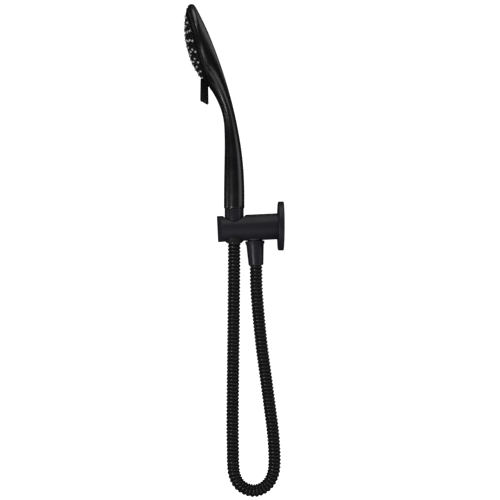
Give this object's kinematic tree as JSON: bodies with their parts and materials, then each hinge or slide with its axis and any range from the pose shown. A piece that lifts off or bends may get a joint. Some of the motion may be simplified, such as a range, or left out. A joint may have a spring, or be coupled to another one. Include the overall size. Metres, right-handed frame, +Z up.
{
  "type": "handheld shower head",
  "caption": "Handheld shower with a round domed spray face and selector lever, hanging in the cradle of a round wall arm with a hose outlet, and a ribbed hose in a loop.",
  "frame": {"origin": "centre of the wall inlet's mouth, on the plane of the wall", "axes": "+X into the wall along the inlet, +Z up along the handset, -X towards the room"},
  "size_m": [0.1222, 0.1044, 0.6008],
  "materials": {
    "bracket_finish": "satin black plated brass with a faint blue cast",
    "nut_finish": "satin black plated brass",
    "handset_plastic": "satin black moulded ABS",
    "face_plastic": "matt black moulded ABS",
    "lever_plastic": "matt black moulded ABS",
    "nozzle_silicone": "grey silicone",
    "hose_cover": "ribbed black PVC with a soft gloss",
    "liner_plastic": "black nylon",
    "seal_rubber": "black EPDM",
    "fibre_washer": "grey fibre",
    "brass": "turned brass",
    "valve_plastic": "natural acetal",
    "tube_plastic": "natural polypropylene",
    "limiter_plastic": "green acetal",
    "spring_steel": "stainless steel"
  },
  "bodies": {
    "bracket": {"wall_flange": "bracket_finish", "flange_gasket": "seal_rubber", "flange_oring": "seal_rubber", "bracket_arm": "bracket_finish", "inlet_washer": "fibre_washer", "cradle_liner": "liner_plastic", "outlet_nipple": "bracket_finish", "outlet_seal": "fibre_washer", "check_valve_housing": "valve_plastic", "check_valve_spring": "spring_steel", "outlet_nut": "nut_finish", "outlet_washer": "seal_rubber", "lower_ferrule": "brass", "hose": "hose_cover"},
    "check_valve": {"check_valve_poppet": "valve_plastic"},
    "hose_tail": {"upper_ferrule": "brass"},
    "handset": {"handset_nut": "nut_finish", "filter_washer": "seal_rubber", "handset_body": "handset_plastic", "inlet_adapter": "brass", "adapter_seal": "seal_rubber", "flow_limiter": "limiter_plastic", "water_tube": "tube_plastic", "tube_seal": "seal_rubber", "head_chamber": "valve_plastic", "port_seal": "seal_rubber", "detent_ball": "spring_steel", "detent_spring": "spring_steel", "pivot_screw": "spring_steel", "pivot_washer": "spring_steel"},
    "selector": {"port_plate": "valve_plastic", "diffuser_plate": "valve_plastic", "nozzle_mat": "nozzle_silicone", "spray_face": "face_plastic", "selector_ring": "lever_plastic", "centre_cap": "face_plastic"}
  },
  "joints": [
    {"name": "check_valve_open", "type": "slide", "parent": "bracket", "child": "check_valve", "axis": [0.048, 0, -0.9988], "range_m": [0, 0.0022], "stiffness_N_per_m": 60, "springref_m": -0.003, "deforming": ["check_valve_spring"]},
    {"name": "handset_lift", "type": "slide", "parent": "bracket", "child": "hose_tail", "axis": [0, 0, 1], "range_m": [0, 0.035]},
    {"name": "handset_turn", "type": "hinge", "parent": "hose_tail", "child": "handset", "pos_m": [-0.0604, 0, 0.0215], "axis": [0, 0, 1], "range_deg": [-100, 100]},
    {"name": "spray_select", "type": "hinge", "parent": "handset", "child": "selector", "pos_m": [-0.1044, 0, 0.2175], "axis": [-0.9646, 0, -0.2639], "range_deg": [-35, 35]}
  ]
}
